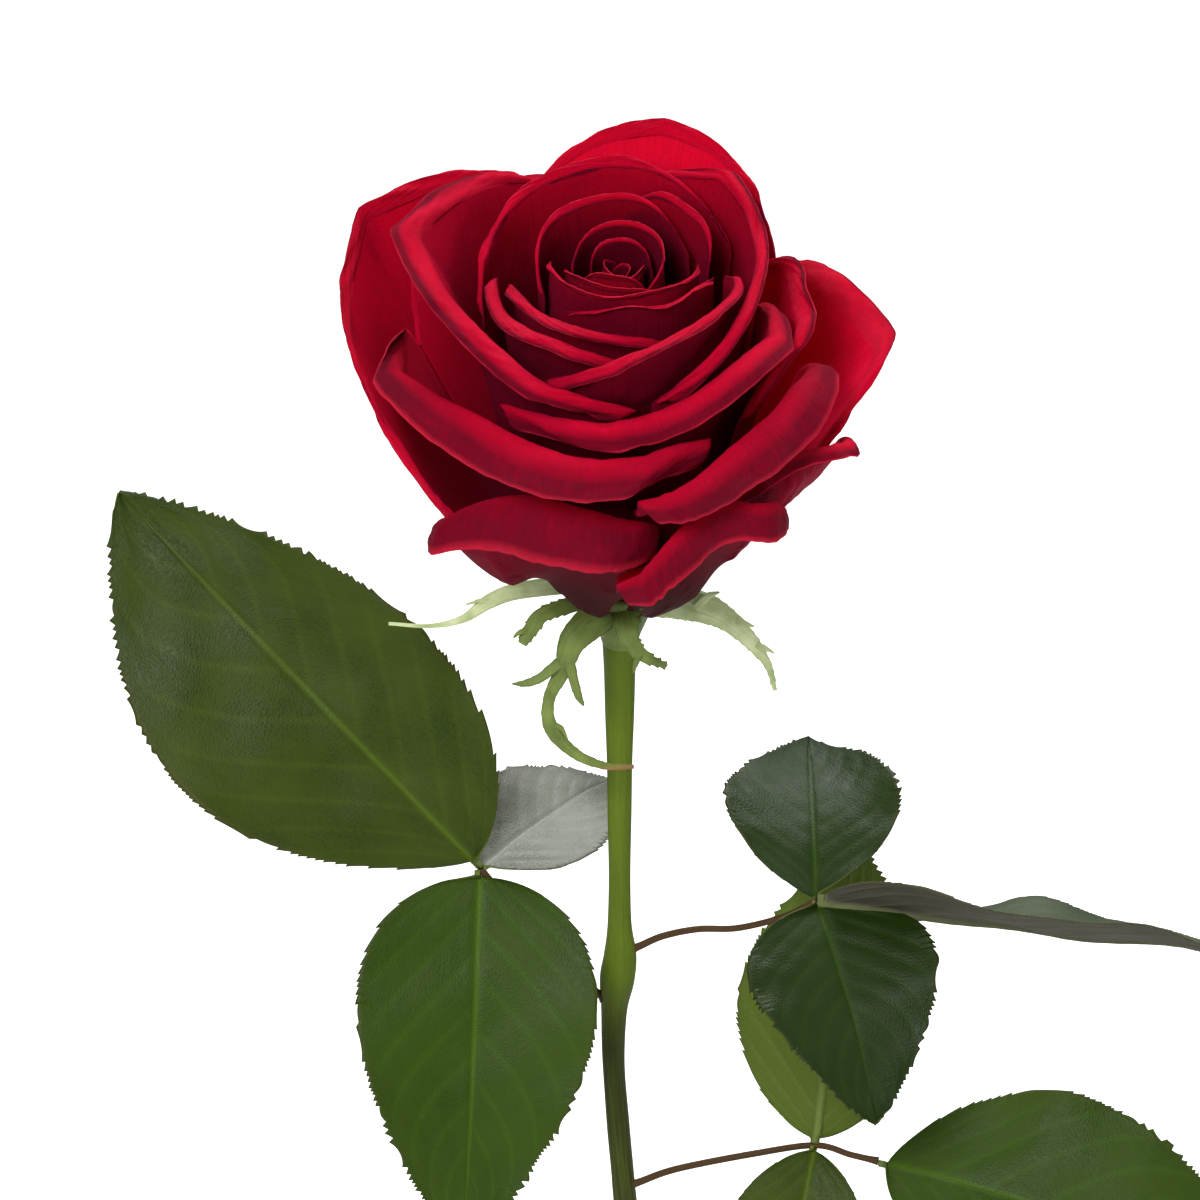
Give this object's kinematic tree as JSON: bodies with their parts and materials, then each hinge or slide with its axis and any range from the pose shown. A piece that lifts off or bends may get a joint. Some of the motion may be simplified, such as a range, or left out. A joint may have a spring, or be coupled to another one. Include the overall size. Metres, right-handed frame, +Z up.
{
  "type": "rose in a bud vase",
  "caption": "Single upright cut rose with a full spiral bloom and serrated compound leaves, standing in a slim-necked, round-bellied bud vase on a flat foot.",
  "frame": {"origin": "middle of the vase's flat foot, on the surface it stands on", "axes": "+Z up along the vase's axis; -Y towards the side the flower leans to and faces; +X to the flower's right as seen from that side"},
  "size_m": [0.1902, 0.1156, 0.3791],
  "materials": {
    "petal": "matte",
    "leaf": "satin",
    "stalk": "satin",
    "stem": "satin",
    "sepal": "satin",
    "vase": "satin"
  },
  "bodies": {
    "root": {"hip": "sepal", "leaf_1_leaflet_1": "leaf", "leaf_1_leaflet_2": "leaf", "leaf_1_leaflet_3": "leaf", "leaf_1_stalk": "stalk", "leaf_2_leaflet_1": "leaf", "leaf_2_leaflet_2": "leaf", "leaf_2_leaflet_3": "leaf", "leaf_2_stalk": "stalk", "leaf_3_leaflet_1": "leaf", "leaf_3_leaflet_2": "leaf", "leaf_3_leaflet_3": "leaf", "leaf_3_stalk": "stalk", "petal_heart_1": "petal", "petal_heart_2": "petal", "petal_heart_3": "petal", "petal_heart_4": "petal", "petal_heart_5": "petal", "petal_heart_6": "petal", "petal_heart_7": "petal", "petal_mid_1": "petal", "petal_mid_2": "petal", "petal_mid_3": "petal", "petal_mid_4": "petal", "petal_mid_5": "petal", "petal_outer_1": "petal", "petal_outer_2": "petal", "petal_outer_3": "petal", "petal_outer_4": "petal", "petal_outer_5": "petal", "petal_outer_6": "petal", "petal_outer_7": "petal", "petal_outer_8": "petal", "petal_outer_9": "petal", "petal_ring_1": "petal", "petal_ring_2": "petal", "petal_ring_3": "petal", "petal_ring_4": "petal", "petal_ring_5": "petal", "petal_ring_6": "petal", "petal_ring_7": "petal", "sepal_1": "sepal", "sepal_2": "sepal", "sepal_3": "sepal", "sepal_4": "sepal", "sepal_5": "sepal", "stem": "stem", "vase": "vase"}
  },
  "joints": []
}
